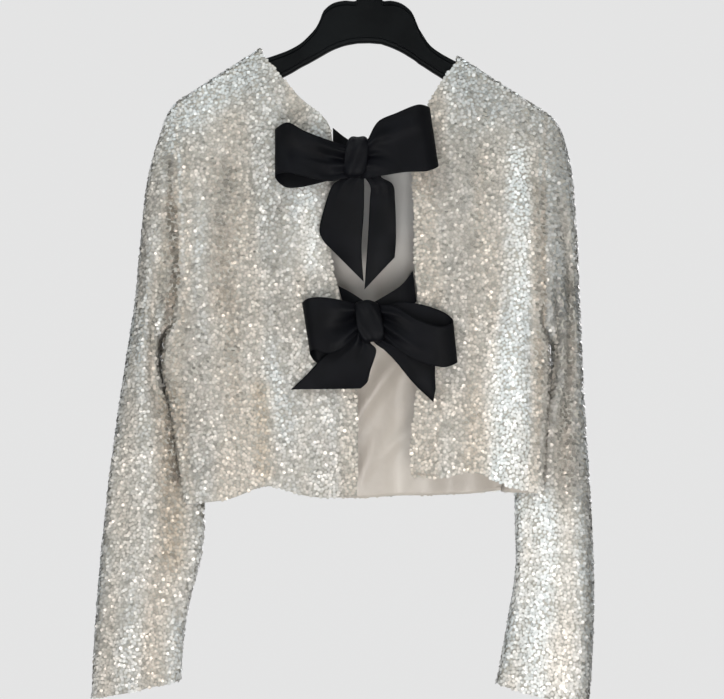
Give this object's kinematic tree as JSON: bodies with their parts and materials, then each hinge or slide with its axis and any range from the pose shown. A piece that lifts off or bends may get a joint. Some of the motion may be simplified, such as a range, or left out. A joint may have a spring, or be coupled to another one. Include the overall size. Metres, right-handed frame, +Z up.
{
  "type": "sequinned jacket with ribbon bows on a hanger",
  "caption": "Cropped sequinned jacket, open down the middle and tied with ribbon bows, hanging on a flat hanger.",
  "frame": {"origin": "the inner crest of the hanger's hook, where it hangs on a rail", "axes": "+Z up, -Y towards the side with the bows, +X to the right as seen from that side"},
  "size_m": [0.5215, 0.1017, 0.7973],
  "materials": {
    "sequins": "overlapping pearly sequins on cream cloth",
    "lining": "cream satin",
    "ribbon": "black ribbon, fine cross ribs, low sheen",
    "hanger": "black plastic, soft satin",
    "hook": "plain bright wire"
  },
  "bodies": {
    "root": {"left_front": "sequins", "right_front": "sequins", "back": "sequins", "left_sleeve": "sequins", "right_sleeve": "sequins", "back_lining": "lining", "left_front_facing": "lining", "right_front_facing": "lining", "top_bow_knot": "ribbon", "top_bow_left_loop": "ribbon", "top_bow_right_loop": "ribbon", "top_bow_left_tail": "ribbon", "top_bow_right_tail": "ribbon", "top_bow_left_tie": "ribbon", "top_bow_right_tie": "ribbon", "low_bow_knot": "ribbon", "low_bow_left_loop": "ribbon", "low_bow_right_loop": "ribbon", "low_bow_left_tail": "ribbon", "low_bow_right_tail": "ribbon", "low_bow_left_tie": "ribbon", "low_bow_right_tie": "ribbon", "hanger_body": "hanger", "hanger_hook": "hook"}
  },
  "joints": []
}
